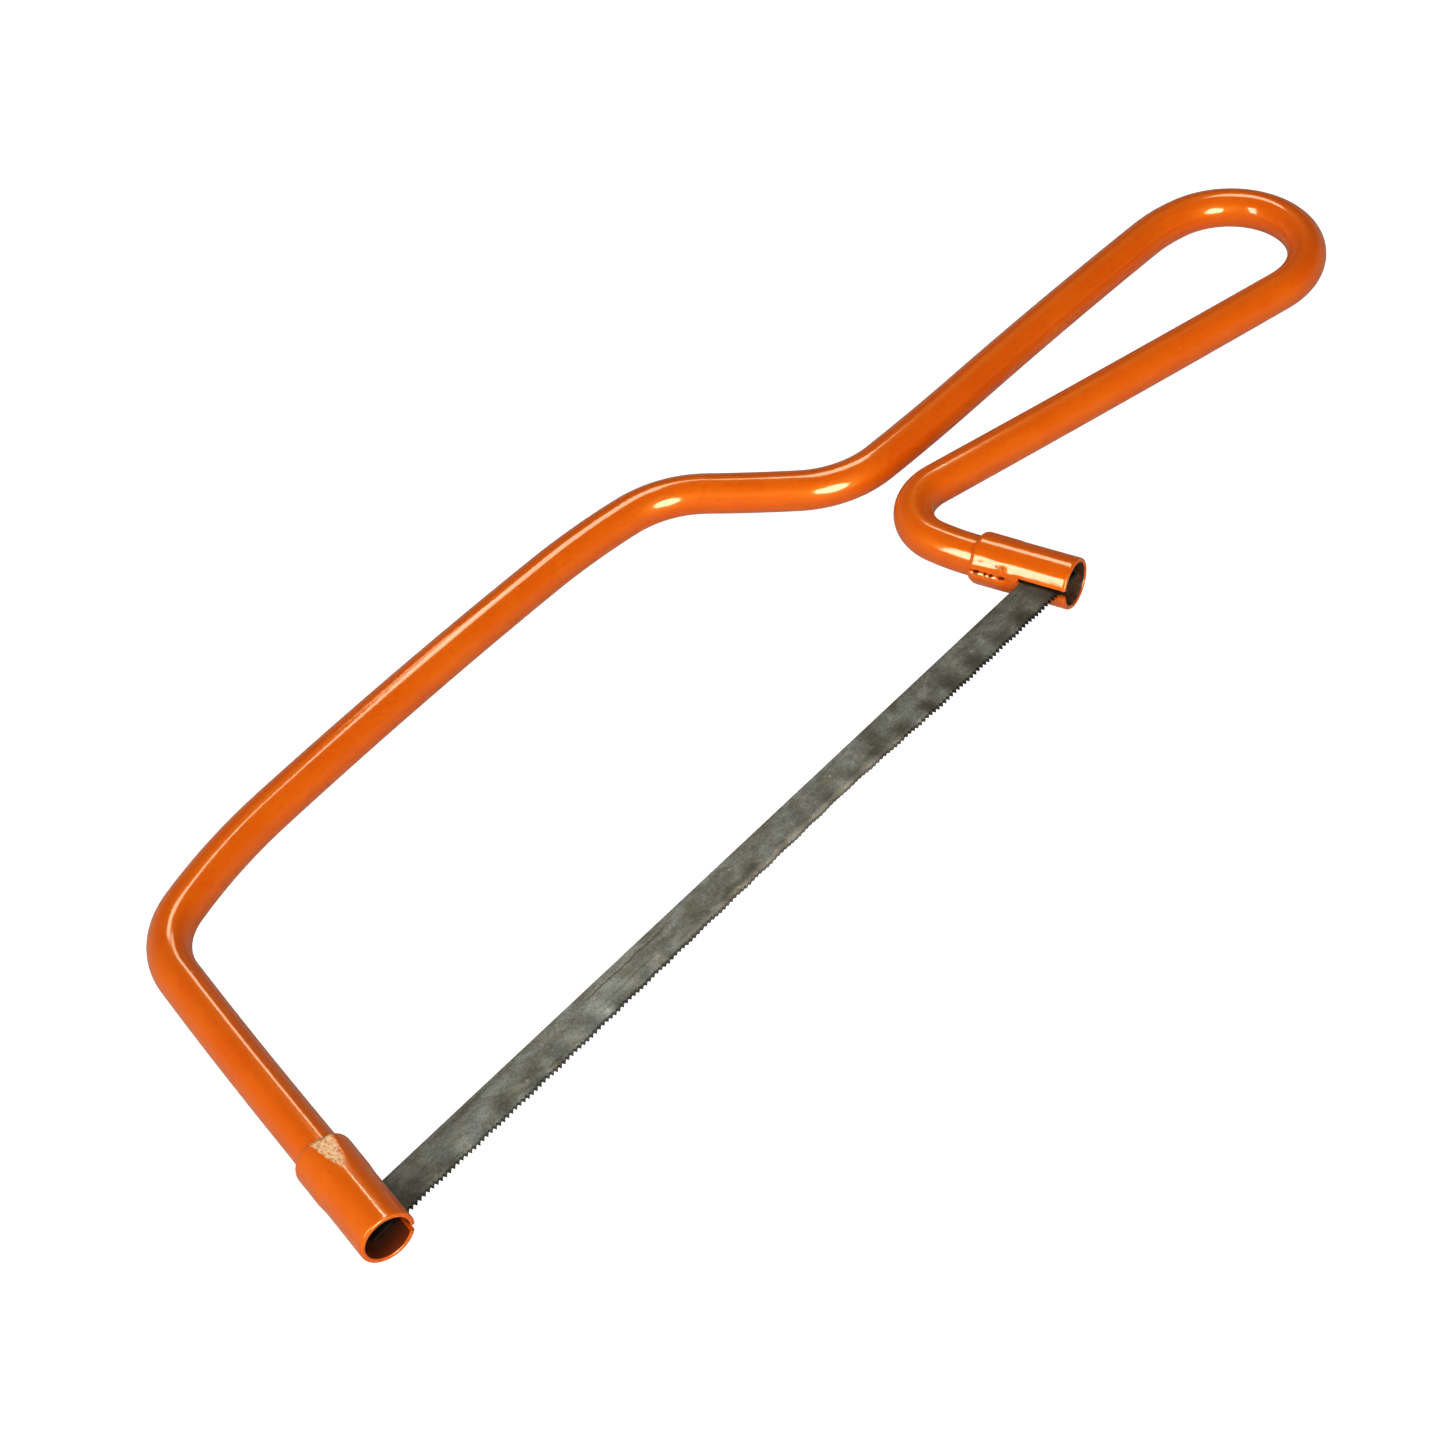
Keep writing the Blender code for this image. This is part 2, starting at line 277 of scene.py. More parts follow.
def outside_point(v, turn, sleeve):
    """(across, up) of a rolled sleeve's outside, v from its mouth. turn counts upwards from its slot."""
    crimped = smooth((v - CRIMP_START) / CRIMP_RAMP)
    angle = sleeve["slot_turn"] + turn
    dent = noise.noise(Vector((v * 0.45, math.cos(angle) * 2.1 + sleeve["seed"], math.sin(angle) * 2.1)))
    wide = SLEEVE_RADIUS + crimped * (CRIMP_HALF_WIDTH - SLEEVE_RADIUS + CRIMP_DENTS * dent)
    across = wide * math.cos(angle)
    up = SLEEVE_RADIUS * math.sin(angle)

    # The lower edge of the closed seam stands proud as a ridge and the upper one sinks a little.
    below = 2 * math.pi - turn
    ridge = math.exp(-(((below - SEAM_RIDGE_PLACE) / SEAM_RIDGE_WIDTH) ** 2))
    sunk = math.exp(-((turn / SEAM_SINK_ABOVE) ** 2)) + math.exp(-((below / SEAM_SINK_BELOW) ** 2))
    lift = crimped * (SEAM_RIDGE * ridge - SEAM_SINK * sunk)
    across += lift * math.cos(angle)
    up += lift * math.sin(angle)

    # Pressed flat underneath, and above on one facet.
    share = min(1.0, max(0.0, (v - CRIMP_START) / (sleeve["length"] - CRIMP_START)))
    bottom = CRIMP_UNDERSIDE - share * (CRIMP_UNDERSIDE - CRIMP_HALF_HEIGHT)
    up = max(up, -bottom)
    facet_angle, start, depth = sleeve["facet"]
    share = min(1.0, max(0.0, (v - start) / (sleeve["length"] - start)))
    if share > 0:
        c, s = math.cos(facet_angle), math.sin(facet_angle)
        limit = math.hypot(wide * c, SLEEVE_RADIUS * s) - depth * share**0.7
        excess = max(0.0, across * c + up * s - limit)
        across -= excess * c
        up -= excess * s
    return across, up


def half_gap(v, sleeve):
    """Half the width of the slot, or of the closed seam with its pits, v from the mouth."""
    closing = smooth((v - sleeve["slot_length"]) / SLOT_END)
    open_share = max(math.exp(-((2 * (v - place) / size) ** 4)) for place, size in sleeve["pits"])
    return SLOT_WIDTH / 2 * (1 - closing) + (SEAM_HALF_GAP + PIT_HALF_GAP * open_share) * closing


def sleeve_stations(sleeve):
    """Rings along a sleeve: distance from the mouth, and how much its outside and its bore are trimmed."""
    length = sleeve["length"]
    slot_end = sleeve["slot_length"]
    rim = [(0.0, 0.30, 0.20), (0.04, 0.17, 0.11), (0.13, 0.06, 0.04), (0.28, 0.0, 0.0)]
    shoulder = [(0.75, 0.0, 0.0), (0.5, 0.05, 0.02), (0.28, 0.14, 0.06), (0.1, 0.28, 0.1), (0.0, 0.50, 0.12)]
    plain = [v for v in np.arange(0.6, length - 0.85, 0.25) if abs(v - slot_end) > 0.4]
    near_slot_end = [slot_end + d for d in (-0.35, -0.15, -0.03, 0.03, 0.1, 0.2, 0.35)]
    stations = rim + [(v, 0.0, 0.0) for v in sorted(plain + near_slot_end)]
    return stations + [(length - back, outer, bore) for back, outer, bore in shoulder]


def sleeve_faces(rings, sides):
    """Quads of a rolled sheet, outside points first, and which of them line the bore."""
    columns = sides + 1
    inside = rings * columns
    last = rings - 1
    faces = []
    bore_faces = set()
    for i in range(last):
        for j in range(sides):
            a = i * columns + j
            d = a + columns
            faces.append((a, a + 1, d + 1, d))
            if i > 1:
                bore_faces.add(len(faces))
            faces.append((inside + d, inside + d + 1, inside + a + 1, inside + a))
        for j in (0, sides):
            a = i * columns + j
            d = a + columns
            faces.append((a, d, inside + d, inside + a))
    for i in (0, last):
        for j in range(sides):
            a = i * columns + j
            faces.append((a, a + 1, inside + a + 1, inside + a))
    return faces, bore_faces


def build_sleeve(name, node, sleeve, paint, bore_finish, body):
    """A sheet rolled round the rod: outside, bore, two rims and the two edges of its slot and seam."""
    length = sleeve["length"]
    stations = sleeve_stations(sleeve)
    outside, inside, angles = [], [], []
    for v, outer_trim, inner_trim in stations:
        start = math.asin(half_gap(v, sleeve) / SLEEVE_RADIUS)
        closing = smooth((v - (length - BORE_CLOSING_START)) / BORE_CLOSING_LENGTH)
        bore = (BORE_RADIUS + inner_trim) * (1 - closing) + CLOSED_BORE_RADIUS * closing
        for turn in np.linspace(start, 2 * math.pi - start, SLEEVE_SIDES + 1):
            across, up = outside_point(v, turn, sleeve)
            trimmed = 1 - outer_trim / math.hypot(across, up)
            outside.append((v, sleeve["side"] * across * trimmed, up * trimmed))
            angle = sleeve["slot_turn"] + turn
            inside.append((v, sleeve["side"] * bore * math.cos(angle), bore * math.sin(angle)))
            angles.append(math.degrees(angle))
    faces, bore_faces = sleeve_faces(len(stations), SLEEVE_SIDES)
    local = np.array(outside + inside)
    c, s = math.cos(sleeve["heading"]), math.sin(sleeve["heading"])
    x = sleeve["mouth"][0] + local[:, 0] * c - local[:, 1] * s
    y = sleeve["mouth"][1] + local[:, 0] * s + local[:, 1] * c
    points = np.stack([x, y, local[:, 2]], 1)
    attributes = (("along", local[:, 0]), ("angle", angles * 2))
    made = add_piece(name, points, faces, paint, body, [node], attributes)
    made.data.materials.append(bore_finish)
    for index in bore_faces:
        made.data.polygons[index].material_index = 1
    made.data.set_sharp_from_angle(angle=math.radians(38))
    edge = made.modifiers.new("edges", "BEVEL")
    edge.width = SLEEVE_EDGE_BEVEL * MM
    edge.segments = 2
    edge.limit_method = "ANGLE"
    edge.angle_limit = math.radians(50)
    return made


def wear(x):
    """How far the teeth are worn at x: 0 where they are sharp, 1 where they are nearly gone."""
    rising = (x - WORN_FROM) / (WORN_MOST - WORN_FROM)
    falling = (WORN_TO - x) / (WORN_TO - WORN_MOST)
    return max(0.0, min(rising, falling))


def tooth_edge(x):
    """Height of the toothed edge at x: a steep front face, a narrow tip and a sloping back to a gullet."""
    first = -TEETH * TOOTH_PITCH / 2
    if x <= first or x >= -first:
        return BLADE_GULLETS
    worn = wear(x)
    ragged = 0.06 * noise.noise(Vector((x * 1.7, 3.0, 0.0)))
    gullet = BLADE_GULLETS + GULLET_WEAR * worn + ragged * 0.5
    tip = BLADE_TIPS + TIP_WEAR * worn + ragged
    share = ((x - first) / TOOTH_PITCH) % 1.0
    if share < TIP_FROM:
        return gullet + (tip - gullet) * (share / TIP_FROM) ** 0.8
    if share < TIP_TO:
        return tip
    return gullet + (tip - gullet) * (1 - (share - TIP_TO) / (1 - TIP_TO)) ** 1.35


def blade_columns():
    """Places along the blade at which its section is drawn."""
    end = BLADE_LENGTH / 2
    columns = [-end, -end + 0.1, -end + 0.3]
    x = -TEETH * TOOTH_PITCH / 2
    for _ in range(TEETH):
        columns += [x + share * TOOTH_PITCH for share in TOOTH_POINTS]
        x += TOOTH_PITCH
    return columns + [x, end - 0.3, end - 0.1, end]


def build_blade(material, body):
    """The blade: thin steel with a bevelled back and a wavy set that swings the teeth from side to side."""
    half = BLADE_THICKNESS / 2
    columns = blade_columns()
    rows = (0.0, 0.03, 0.08, 0.14, 0.22, 0.32, 0.44, 0.58, 0.72, 0.86, 1.0)
    points = []
    for x in columns:
        edge = tooth_edge(x)
        fade = smooth((BLADE_LENGTH / 2 - 2.5 - abs(x)) / 4.0)
        wander = noise.noise(Vector((x * 0.11, 5.0, 0.0)))
        wave = SET_SWING * fade * math.sin(2 * math.pi * (x + 1.6 * wander) / WAVE)
        for side, order in ((1, rows), (-1, rows[::-1])):
            for share in order:
                y = edge + (BLADE_BACK - BACK_BEVEL - edge) * share
                bend = smooth((SET_TOP - y) / (SET_TOP - BLADE_TIPS))
                points.append((x, y, side * half + bend * wave))
            if side == 1:
                points.append((x, BLADE_BACK, half - BACK_BEVEL))
                points.append((x, BLADE_BACK, -half + BACK_BEVEL))
    width = 2 * len(rows) + 2
    last = (len(columns) - 1) * width
    faces = grid_faces(len(columns), width)
    faces.append(tuple(range(width)))
    faces.append(tuple(last + j for j in range(width))[::-1])
    tooth = [y - (BLADE_TIPS + TIP_WEAR * wear(x)) for x, y, _ in points]
    attributes = (("tooth", tooth), ("along", [p[0] for p in points]), ("up", [p[1] for p in points]))
    made = add_piece("blade_set", on_blade(points), faces, material, body, ["blade"], attributes)
    made.data.set_sharp_from_angle(angle=math.radians(35))
    return made


def build_pin(name, node, x, material, body):
    """A short steel pin with domed ends."""
    half = PIN_LENGTH / 2
    rings = [(r, half - down) for r, down in PIN_DOME]
    rings += [(PIN_SHANK_RADIUS, PIN_SHANK_REACH), (PIN_SHANK_RADIUS, -PIN_SHANK_REACH)]
    rings += [(r, down - half) for r, down in PIN_DOME[::-1]]
    points = [(x, 0.0, half)]
    for r, z in rings:
        for j in range(PIN_SIDES):
            turn = 2 * math.pi * j / PIN_SIDES
            points.append((x + r * math.cos(turn), r * math.sin(turn), z))
    points.append((x, 0.0, -half))
    last = 1 + (len(rings) - 1) * PIN_SIDES
    faces = []
    for j in range(PIN_SIDES):
        k = (j + 1) % PIN_SIDES
        faces.append((0, 1 + j, 1 + k))
        faces.append((last + k, last + j, len(points) - 1))
    for i in range(len(rings) - 1):
        a = 1 + i * PIN_SIDES
        for j in range(PIN_SIDES):
            k = (j + 1) % PIN_SIDES
            faces.append((a + j, a + PIN_SIDES + j, a + PIN_SIDES + k, a + k))
    made = add_piece(name, on_blade(points), faces, material, body, [node])
    made.data.set_sharp_from_angle(angle=math.radians(40))
    return made


# ---- Materials ----

MM_PER_DEGREE = SLEEVE_RADIUS * math.pi / 180  # round a sleeve


class Shader:
    """A node material with short calls for the nodes used here."""

    def __init__(self, name):
        self.material = bpy.data.materials.new(name)
        self.material.use_nodes = True
        self.tree = self.material.node_tree
        self.principled = self.tree.nodes["Principled BSDF"]
        coordinates = self.tree.nodes.new("ShaderNodeTexCoord")
        self.place = self.math_vector("MULTIPLY", coordinates.outputs["Object"], (1 / MM,) * 3)

    def link(self, value, socket):
        if isinstance(value, bpy.types.NodeSocket):
            self.tree.links.new(value, socket)
        elif value is not None:
            socket.default_value = value

    def set(self, **values):
        for key, value in values.items():
            self.link(value, self.principled.inputs[key.replace("_", " ")])

    def math_vector(self, operation, first, second):
        node = self.tree.nodes.new("ShaderNodeVectorMath")
        node.operation = operation
        self.link(first, node.inputs[0])
        self.link(second, node.inputs[1])
        return node.outputs[0]

    def math(self, operation, first, second=None):
        node = self.tree.nodes.new("ShaderNodeMath")
        node.operation = operation
        self.link(first, node.inputs[0])
        self.link(second, node.inputs[1])
        return node.outputs[0]

    def attribute(self, name):
        node = self.tree.nodes.new("ShaderNodeAttribute")
        node.attribute_name = name
        return node.outputs["Fac"]

    def stretched(self, x, y, z):
        return self.math_vector("MULTIPLY", self.place, (x, y, z))

    def noise(self, scale, detail=3.0, roughness=0.5, place=None, distortion=0.0):
        node = self.tree.nodes.new("ShaderNodeTexNoise")
        self.link(place if place is not None else self.place, node.inputs["Vector"])
        node.inputs["Scale"].default_value = scale
        node.inputs["Detail"].default_value = detail
        node.inputs["Roughness"].default_value = roughness
        node.inputs["Distortion"].default_value = distortion
        return node.outputs["Fac"]

    def flecks(self, scale, *stops):
        """Small round flecks, one to a cell: (distance from the middle, strength)."""
        node = self.tree.nodes.new("ShaderNodeTexVoronoi")
        self.link(self.place, node.inputs["Vector"])
        node.inputs["Scale"].default_value = scale
        return self.ramp(node.outputs["Distance"], *stops)

    def arc(self, angle):
        """Distance round a sleeve from an angle in degrees."""
        turn = self.math("SUBTRACT", self.attribute("angle"), angle)
        return self.math("MULTIPLY", turn, MM_PER_DEGREE)

    def spot(self, along, angle, radius):
        """1 within radius of a place on a sleeve, given by its distance from the mouth and its angle."""
        run = self.math("SUBTRACT", self.attribute("along"), along)
        arc = self.arc(angle)
        squares = self.math("ADD", self.math("MULTIPLY", run, run), self.math("MULTIPLY", arc, arc))
        return self.ramp(self.math("SQRT", squares), (radius * 0.6, 1.0), (radius, 0.0))

    def ramp(self, value, *stops):
        """Grey that follows straight lines between stops: (position, grey)."""
        node = self.tree.nodes.new("ShaderNodeValToRGB")
        self.link(value, node.inputs["Fac"])
        elements = node.color_ramp.elements
        while len(elements) < len(stops):
            elements.new(0.5)
        for element, (position, grey) in zip(elements, stops):
            element.position = position
            element.color = (grey, grey, grey, 1.0)
        return node.outputs["Color"]

    def stage(self, value, *stops):
        """Like ramp, for values of any size: (value, result)."""
        node = self.tree.nodes.new("ShaderNodeFloatCurve")
        low, high = stops[0][0], stops[-1][0]
        share = self.math("DIVIDE", self.math("SUBTRACT", value, low), high - low)
        self.link(self.math("MINIMUM", self.math("MAXIMUM", share, 0.0), 1.0), node.inputs["Value"])
        curve = node.mapping.curves[0]
        places = [((x - low) / (high - low), y) for x, y in stops]
        curve.points[0].location = places[0]
        curve.points[1].location = places[-1]
        for place in places[1:-1]:
            curve.points.new(*place)
        for point in curve.points:
            point.handle_type = "VECTOR"
        node.mapping.update()
        return node.outputs["Value"]

    def mix(self, share, first, second):
        node = self.tree.nodes.new("ShaderNodeMix")
        node.data_type = "RGBA"
        self.link(share, node.inputs["Factor"])
        for value, socket in ((first, node.inputs[6]), (second, node.inputs[7])):
            self.link((*value, 1.0) if isinstance(value, tuple) else value, socket)
        return node.outputs[2]

    def bump(self, height, depth, below=None):
        node = self.tree.nodes.new("ShaderNodeBump")
        node.inputs["Strength"].default_value = 1.0
        node.inputs["Distance"].default_value = depth * MM
        self.link(height, node.inputs["Height"])
        if below is not None:
            self.link(below, node.inputs["Normal"])
        return node.outputs["Normal"]


ENAMEL = (0.80, 0.138, 0.004)
ENAMEL_DEEP = (0.70, 0.100, 0.003)
ENAMEL_LIGHT = (0.84, 0.165, 0.006)
ENAMEL_NIB = (0.95, 0.30, 0.06)
ENAMEL_GLOW = (1.0, 0.72, 0.08, 1.0)  # tint of the light that the paint scatters back below its gloss
# Painted highlight: the pale, specked patch painted over the front sleeve's facet where it catches the light,
# drawn like enamel worn through to a pale undercoat.
FACET_HIGHLIGHT = (1.0, 0.68, 0.42)
FACET_HIGHLIGHT_DIM = (0.66, 0.26, 0.08)
FACET_HIGHLIGHT_SPECK = (0.16, 0.06, 0.02)
# Dark red of two small pits in the paint, and painted shade beside the rear seam's open gaps.
PIT_AND_SEAM_SHADE = (0.24, 0.040, 0.010)


def facet_painted_highlight(s):
    """Painted highlight on the front sleeve's facet, drawn like enamel worn through to a pale undercoat:
    share and colour.
    """
    middle, start, _ = FRONT_SLEEVE["facet"]
    arc = s.arc(math.degrees(middle))
    reach = s.math("MAXIMUM", s.math("SUBTRACT", s.attribute("along"), start), 0.01)
    # The facet widens like a parabola from its start.
    spread = s.math("DIVIDE", s.math("MULTIPLY", arc, arc), s.math("MULTIPLY", reach, 0.46))
    ragged = s.math("MULTIPLY", s.math("SUBTRACT", s.noise(1.4, 3.0, 0.65), 0.5), 3.0)
    # Where the painted highlight covers the facet.
    facet_highlight_share = s.stage(s.math("ADD", spread, ragged), (0.65, 1.0), (1.0, 0.0))
    highlight_mottle = s.stage(s.noise(2.3, 3.0, 0.6, distortion=0.4), (0.38, 0.0), (0.50, 1.0))
    facet_highlight_colour = s.mix(highlight_mottle, FACET_HIGHLIGHT_DIM, FACET_HIGHLIGHT)
    speck = s.stage(s.noise(3.6, 2.0, 0.5), (0.66, 0.0), (0.72, 0.85))
    return facet_highlight_share, s.mix(speck, facet_highlight_colour, FACET_HIGHLIGHT_SPECK)


def enamel(name, hammered_and_highlit=False, pits=()):
    """Glossy orange enamel: faint orange peel, thick and thin places and dust nibs. A crimped sleeve also has
    crimping marks and a painted highlight on its facet, drawn like enamel worn through to a pale undercoat.
    The pits list small dark pits in the paint and painted shade beside the seam's open gaps: each by how far
    it is from the sleeve's mouth, its angle in degrees, and its radius.
    """
    s = Shader(name)
    thickness = s.noise(0.11, 3.0, 0.55)
    colour = s.mix(s.ramp(thickness, (0.35, 0.0), (0.7, 1.0)), ENAMEL, ENAMEL_LIGHT)
    streaks = s.noise(0.9, 2.0, 0.5)
    colour = s.mix(s.ramp(streaks, (0.55, 0.0), (0.85, 0.5)), colour, ENAMEL_DEEP)
    nib = s.flecks(0.16, (0.0, 1.0), (0.035, 0.6), (0.06, 0.0))
    colour = s.mix(s.math("MULTIPLY", nib, 0.5), colour, ENAMEL_NIB)
    surface = s.bump(s.noise(0.55, 2.0, 0.5), 0.014)
    surface = s.bump(s.noise(2.4, 2.0, 0.5), 0.0015, surface)
    surface = s.bump(nib, 0.03, surface)
    if hammered_and_highlit:
        crimped = s.ramp(s.math("SUBTRACT", s.attribute("along"), 10.8), (0.0, 0.0), (0.6, 1.0))
        marks = s.noise(2.6, 3.0, 0.65, distortion=0.5)
        surface = s.bump(s.math("MULTIPLY", marks, crimped), 0.05, surface)
        surface = s.bump(s.noise(3.4, 2.0, 0.5), 0.012, surface)
        # Painted highlight over the facet, drawn like a worn-through pale undercoat.
        facet_highlight_share, facet_highlight_colour = facet_painted_highlight(s)
        colour = s.mix(facet_highlight_share, colour, facet_highlight_colour)
    coat = 1.0
    # Dark red spots: small pits in the paint, and painted shade beside the seam's open gaps.
    for along, angle, radius in pits:
        dark_spot = s.spot(along, angle, radius)
        colour = s.mix(dark_spot, colour, PIT_AND_SEAM_SHADE)
        surface = s.bump(s.math("MULTIPLY", dark_spot, -1.0), 0.06, surface)
        coat = s.math("MULTIPLY", coat, s.math("SUBTRACT", 1.0, s.math("MULTIPLY", dark_spot, 0.8)))
    gloss = s.ramp(s.noise(0.8, 4.0, 0.6), (0.3, 0.07), (0.75, 0.13))
    s.set(Base_Color=colour, Roughness=0.45, Specular_IOR_Level=0.45, Specular_Tint=ENAMEL_GLOW)
    s.set(Coat_Weight=coat, Coat_Roughness=gloss, Coat_Normal=surface, Normal=surface)
    return s.material


BORE_PAINT = (0.26, 0.045, 0.006)


def bore_steel(name, dark, light, paint):
    """The inside of a sleeve: steel from dark to light with grime, under a share of paint that thins out with
    depth, so that the bore is darker deeper in: painted shade.
    """
    s = Shader(name)
    grime = s.noise(1.1, 5.0, 0.65)
    colour = s.mix(s.ramp(grime, (0.35, 0.0), (0.7, 1.0)), dark, light)
    # Painted shade: the bore grows darker deeper in as the paint gives way to the dark steel.
    depth = s.math("ADD", s.math("DIVIDE", s.attribute("along"), 9.0), s.math("MULTIPLY", grime, 0.25))
    painted = s.ramp(depth, (0.12, 0.8 * paint), (0.3, 0.35 * paint), (0.6, 0.0))
    colour = s.mix(painted, colour, BORE_PAINT)
    s.set(Base_Color=colour, Roughness=0.45, Normal=s.bump(grime, 0.05))
    return s.material


STEEL_DARK = (0.074, 0.084, 0.078)
STEEL_LIGHT = (0.152, 0.178, 0.190)
STEEL_GRAIN_DARK = (0.045, 0.050, 0.042)
STEEL_GRAIN_LIGHT = (0.22, 0.25, 0.25)
STEEL_BRIGHT = (0.26, 0.26, 0.25)  # rubbed bare beside the worn teeth
OLIVE = (0.085, 0.075, 0.045)
RUST = (0.10, 0.055, 0.035)
STREAK = (0.028, 0.024, 0.014)
# A dark line along the front half of the blade.
DARK_LINE = (0.035, 0.031, 0.018)
DUST = (0.42, 0.38, 0.30)
TOOTH_DIRT = (0.02, 0.019, 0.017)
SET_SHADE = (0.045, 0.043, 0.038)
# Painted shade on the blade's ends, where they run under the sleeves.
END_SHADE = (0.020, 0.015, 0.011)


def mottled_steel(s, patches, fine):
    """The blade's colour away from its teeth: patches, olive and brown tarnish, streaks, grain and dust."""
    colour = s.mix(s.ramp(patches, (0.38, 0.0), (0.62, 1.0)), STEEL_DARK, STEEL_LIGHT)
    olive = s.noise(0.45, 4.0, 0.6, s.stretched(0.6, 1.2, 1.0))
    colour = s.mix(s.ramp(olive, (0.52, 0.0), (0.72, 0.6)), colour, OLIVE)
    brown = s.noise(0.3, 4.0, 0.7, s.math_vector("ADD", s.place, (40.0, 9.0, 0.0)))
    colour = s.mix(s.ramp(brown, (0.60, 0.0), (0.74, 0.45)), colour, RUST)
    streak = s.noise(1.0, 3.0, 0.6, s.stretched(0.06, 1.15, 1.0))
    colour = s.mix(s.ramp(streak, (0.60, 0.0), (0.70, 0.55)), colour, STREAK)
    colour = s.mix(s.ramp(fine, (0.38, 0.45), (0.55, 0.0)), colour, STEEL_GRAIN_DARK)
    colour = s.mix(s.ramp(fine, (0.54, 0.0), (0.68, 0.25)), colour, STEEL_GRAIN_LIGHT)
    speck = s.flecks(0.21, (0.0, 1.0), (0.05, 0.5), (0.075, 0.0))
    return s.mix(s.math("MULTIPLY", speck, 0.5), colour, DUST)


def used_edge(s, colour):
    """Towards the teeth: dirt between them and a bright worn stretch, which are signs of use, a dark line
    along the blade, and the dark bands where the set leans away from the light.
    """
    along = s.attribute("along")
    tooth = s.attribute("tooth")
    up = s.attribute("up")
    colour = s.mix(s.ramp(tooth, (0.05, 0.7), (0.5, 0.0)), colour, TOOTH_DIRT)

    reach = s.stage(along, (-16.0, 0.0), (2.0, 0.75), (26.0, 0.75), (44.0, 0.0))
    strip = s.stage(s.math("ADD", tooth, s.noise(0.9, 3.0, 0.6)), (0.85, 1.0), (1.6, 0.0))
    colour = s.mix(s.math("MULTIPLY", reach, strip), colour, STEEL_BRIGHT)

    # A dark line along the front half of the blade.
    wander = s.math("MULTIPLY", s.math("SUBTRACT", s.noise(0.5, 3.0, 0.6), 0.5), 0.9)
    off = s.math("ABSOLUTE", s.math("ADD", s.math("SUBTRACT", up, 1.75), wander))
    reach = s.stage(along, (-34.0, 0.0), (-28.0, 0.8), (-15.0, 0.8), (-12.0, 0.0))
    dark_line = s.math("MULTIPLY", s.stage(off, (0.05, 1.0), (0.22, 0.0)), reach)
    colour = s.mix(dark_line, colour, DARK_LINE)

    wave = s.math("SINE", s.math("MULTIPLY", along, 2 * math.pi / WAVE))
    bands = s.stage(wave, (-0.2, 0.0), (0.9, 0.7))
    bands = s.math("MULTIPLY", bands, s.stage(along, (-20.0, 0.0), (40.0, 1.0)))
    bands = s.math("MULTIPLY", bands, s.stage(up, (-1.4, 1.0), (0.9, 0.0)))
    return s.mix(bands, colour, SET_SHADE)


def blade_steel(name):
    """Hardened blade steel: dark grey and mottled, painted lighter towards the front, painted shade towards
    the ends where it runs under the sleeves, with a grain along the blade.
    """
    s = Shader(name)
    patches = s.noise(0.16, 5.0, 0.6, s.stretched(1.0, 1.6, 1.0), 0.4)
    fine = s.noise(2.6, 4.0, 0.75)
    colour = used_edge(s, mottled_steel(s, patches, fine))
    along = s.attribute("along")
    # Painted light: the blade's colour is made lighter towards the front, where it catches more light.
    painted_light_along = s.stage(
        along, (-75.0, 1.7), (-18.0, 1.65), (-5.0, 1.25), (22.0, 1.2), (45.0, 1.05), (75.0, 1.0)
    )
    colour = s.math_vector("MULTIPLY", colour, painted_light_along)
    # Painted shade: darker towards the ends, under the sleeves.
    ends = s.stage(s.math("ABSOLUTE", along), (56.0, 0.0), (67.0, 0.3), (71.0, 0.85), (75.0, 1.0))
    colour = s.mix(ends, colour, END_SHADE)
    normal = s.bump(s.noise(2.2, 3.0, 0.6, s.stretched(0.25, 3.0, 1.0)), 0.008)
    normal = s.bump(fine, 0.012, normal)
    normal = s.bump(patches, 0.05, normal)
    roughness = s.ramp(s.noise(0.6, 4.0, 0.6), (0.3, 0.38), (0.7, 0.55))
    s.set(Base_Color=colour, Metallic=0.55, Roughness=roughness, Normal=normal)
    return s.material


PIN_BRIGHT = (0.86, 0.80, 0.70)
PIN_TARNISH = (0.50, 0.43, 0.33)


def pin_steel(name):
    """Bright drawn steel with drawing marks along it and a little tarnish."""
    s = Shader(name)
    tarnish = s.noise(1.3, 4.0, 0.6)
    colour = s.mix(s.ramp(tarnish, (0.4, 0.0), (0.7, 1.0)), PIN_BRIGHT, PIN_TARNISH)
    marks = s.noise(6.0, 2.0, 0.5, s.stretched(1.0, 1.0, 0.15))
    roughness = s.ramp(marks, (0.3, 0.3), (0.7, 0.5))
    s.set(Base_Color=colour, Metallic=0.6, Roughness=roughness, Normal=s.bump(marks, 0.01))
    return s.material


# ---- Assembly ----

SEAM_LIP = 371.5  # angle of the seam's lower lip on the rear sleeve
# Two small pits in the paint stand by themselves on the side; the others, along the seam's lower lip, are
# painted shade beside the seam's open gaps.
REAR_PITS_AND_SEAM_SHADE = (
    (11.8, 38.0, 0.2),
    (10.8, 36.0, 0.2),
    (15.2, SEAM_LIP, 0.26),
    (14.8, SEAM_LIP, 0.24),
    (13.5, SEAM_LIP, 0.24),
    (12.5, SEAM_LIP, 0.28),
    (10.9, SEAM_LIP, 0.24),
    (10.5, SEAM_LIP, 0.26),
)

rod_paint = enamel("rod_enamel")
# The front sleeve's enamel carries a painted highlight on its facet.
front_paint = enamel("front_sleeve_enamel", hammered_and_highlit=True)
rear_paint = enamel("rear_sleeve_enamel", pits=REAR_PITS_AND_SEAM_SHADE)
